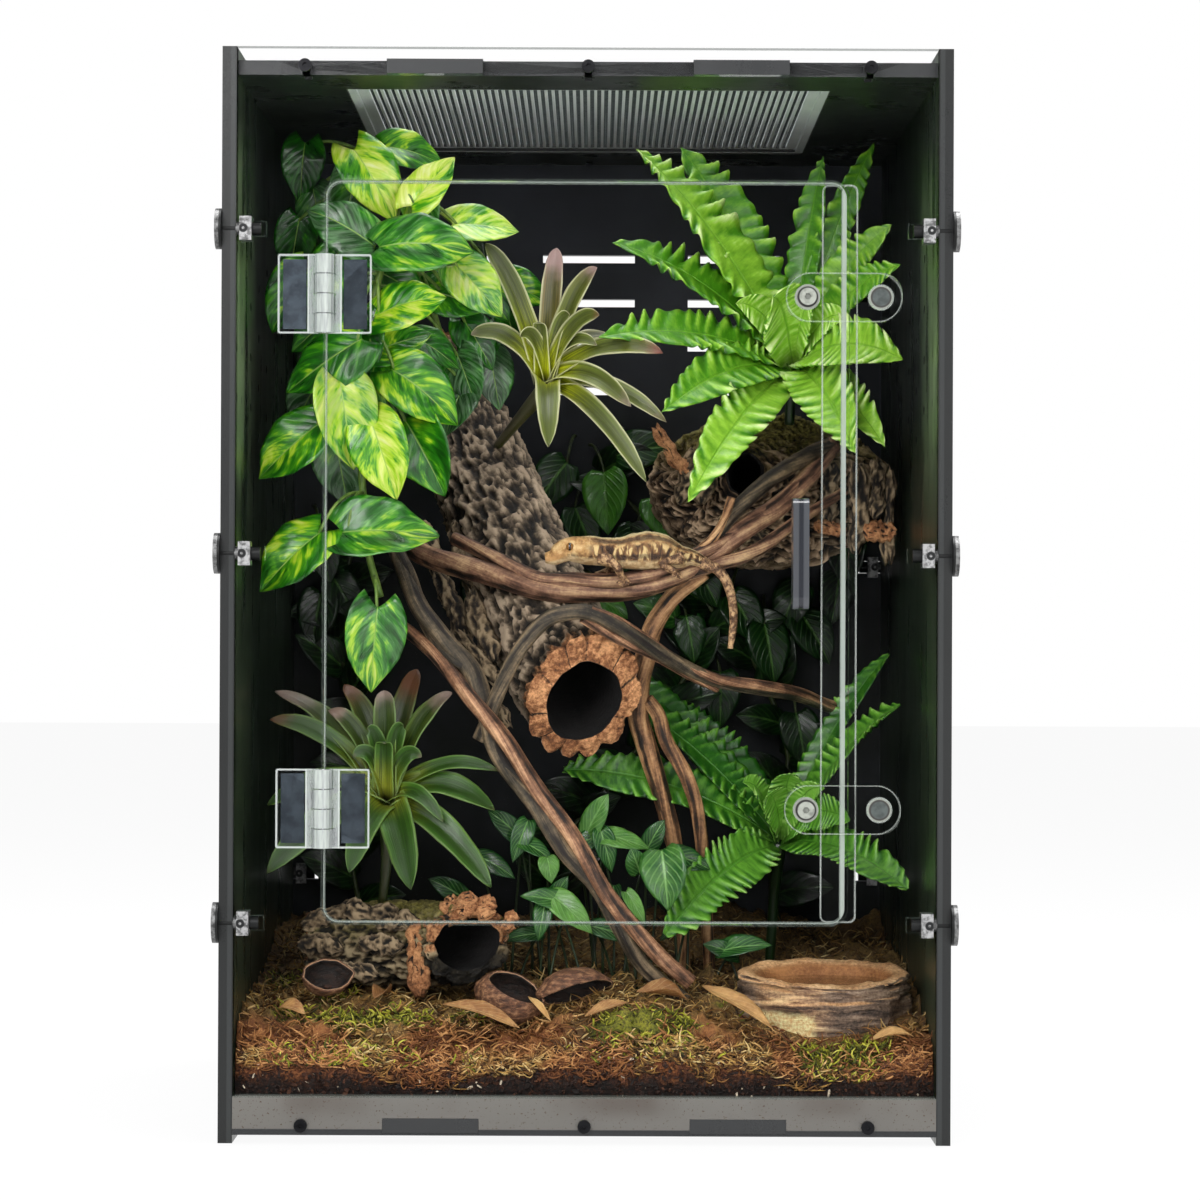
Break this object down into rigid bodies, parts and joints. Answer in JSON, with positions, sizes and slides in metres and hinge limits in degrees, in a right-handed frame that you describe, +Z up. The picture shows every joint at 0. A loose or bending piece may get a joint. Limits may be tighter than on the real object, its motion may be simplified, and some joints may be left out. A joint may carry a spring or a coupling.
{
  "type": "reptile terrarium",
  "caption": "Front-opening reptile terrarium: black sheet cabinet, clear front with a hinged, latched door, roof vent, planted inside.",
  "frame": {"origin": "on the table, at the middle of the bounding box seen from above", "axes": "+X to the viewer's right, -Y out of the front with the door, +Z up"},
  "size_m": [0.3104, 0.3255, 0.457],
  "materials": {
    "black_sheet": "satin black foam-PVC sheet with sawn edges",
    "clear_acrylic": "polished clear acrylic with bright edges",
    "hinge_acrylic": "clear moulded acrylic",
    "hinge_pad": "dark grey-blue adhesive foam tape",
    "smoke_acrylic": "smoke-grey acrylic",
    "vent_metal": "slotted sheet metal",
    "magnet": "dark nickel-plated magnet",
    "bright_steel": "zinc-plated steel",
    "black_steel": "black oxide steel",
    "soil": "dark coconut-fibre soil with light specks",
    "moss": "dry golden and green sphagnum moss",
    "dry_leaf": "dry brown leaf",
    "seed_pod": "dark hollow seed pod",
    "resin_rock": "tan rock-look resin with darker layers",
    "cork_bark": "grey-brown furrowed cork bark with orange cut ends",
    "vine_wood": "smooth twisted vine wood",
    "pothos_leaf": "glossy leaf, green with yellow and white patches",
    "bromeliad_leaf": "green strap leaf with pink and cream edges",
    "fern_leaf": "wavy lime-green frond",
    "small_leaf": "small dark green leaf",
    "gecko_skin": "cream and brown matt skin"
  },
  "bodies": {
    "cabinet": {"base_panel": "black_sheet", "roof_panel": "black_sheet", "left_side_panel": "black_sheet", "right_side_panel": "black_sheet", "back_panel": "black_sheet", "front_panel": "clear_acrylic", "vent_frame": "vent_metal", "roof_vent_grille": "vent_metal", "door_stop_strip": "clear_acrylic", "upper_hinge_frame_leaf": "hinge_acrylic", "upper_hinge_pin": "hinge_acrylic", "upper_hinge_frame_pad": "hinge_pad", "lower_hinge_frame_leaf": "hinge_acrylic", "lower_hinge_pin": "hinge_acrylic", "lower_hinge_frame_pad": "hinge_pad", "upper_keeper_magnet": "magnet", "lower_keeper_magnet": "magnet", "side_connector_bolts": "bright_steel", "side_square_nuts": "bright_steel", "front_sheet_screws": "black_steel", "back_sheet_screws": "black_steel", "sheet_square_nuts": "bright_steel", "substrate_soil": "soil", "moss_mat": "moss", "leaf_litter": "dry_leaf", "seed_pods": "seed_pod", "water_dish": "resin_rock", "cork_tube_large": "cork_bark", "cork_hide_low": "cork_bark", "cork_ledge_right": "cork_bark", "main_branch": "vine_wood", "left_twisted_branch": "vine_wood", "fork_branch": "vine_wood", "arched_branch": "vine_wood", "pothos_vine": "pothos_leaf", "upper_bromeliad": "bromeliad_leaf", "lower_bromeliad": "bromeliad_leaf", "upper_fern": "fern_leaf", "lower_fern": "fern_leaf", "ground_foliage": "small_leaf", "back_wall_foliage": "small_leaf", "gecko": "gecko_skin"},
    "door": {"door_panel": "clear_acrylic", "door_pull": "smoke_acrylic", "upper_hinge_door_leaf": "hinge_acrylic", "upper_hinge_door_pad": "hinge_pad", "lower_hinge_door_leaf": "hinge_acrylic", "lower_hinge_door_pad": "hinge_pad", "upper_latch_pivot": "bright_steel", "lower_latch_pivot": "bright_steel"},
    "upper_latch": {"upper_latch_tab": "clear_acrylic", "upper_latch_magnet": "magnet"},
    "lower_latch": {"lower_latch_tab": "clear_acrylic", "lower_latch_magnet": "magnet"}
  },
  "joints": [
    {"name": "door_hinge", "type": "hinge", "parent": "cabinet", "child": "door", "pos_m": [-0.10925, -0.15225, 0.2465], "axis": [0, 0, 1], "range_deg": [-165, 0]},
    {"name": "upper_latch_turn", "type": "hinge", "parent": "door", "child": "upper_latch", "pos_m": [0.0916, -0.14775, 0.353], "axis": [0, 1, 0], "range_deg": [-90, 90]},
    {"name": "lower_latch_turn", "type": "hinge", "parent": "door", "child": "lower_latch", "pos_m": [0.0916, -0.14775, 0.1397], "axis": [0, 1, 0], "range_deg": [-90, 90]}
  ]
}
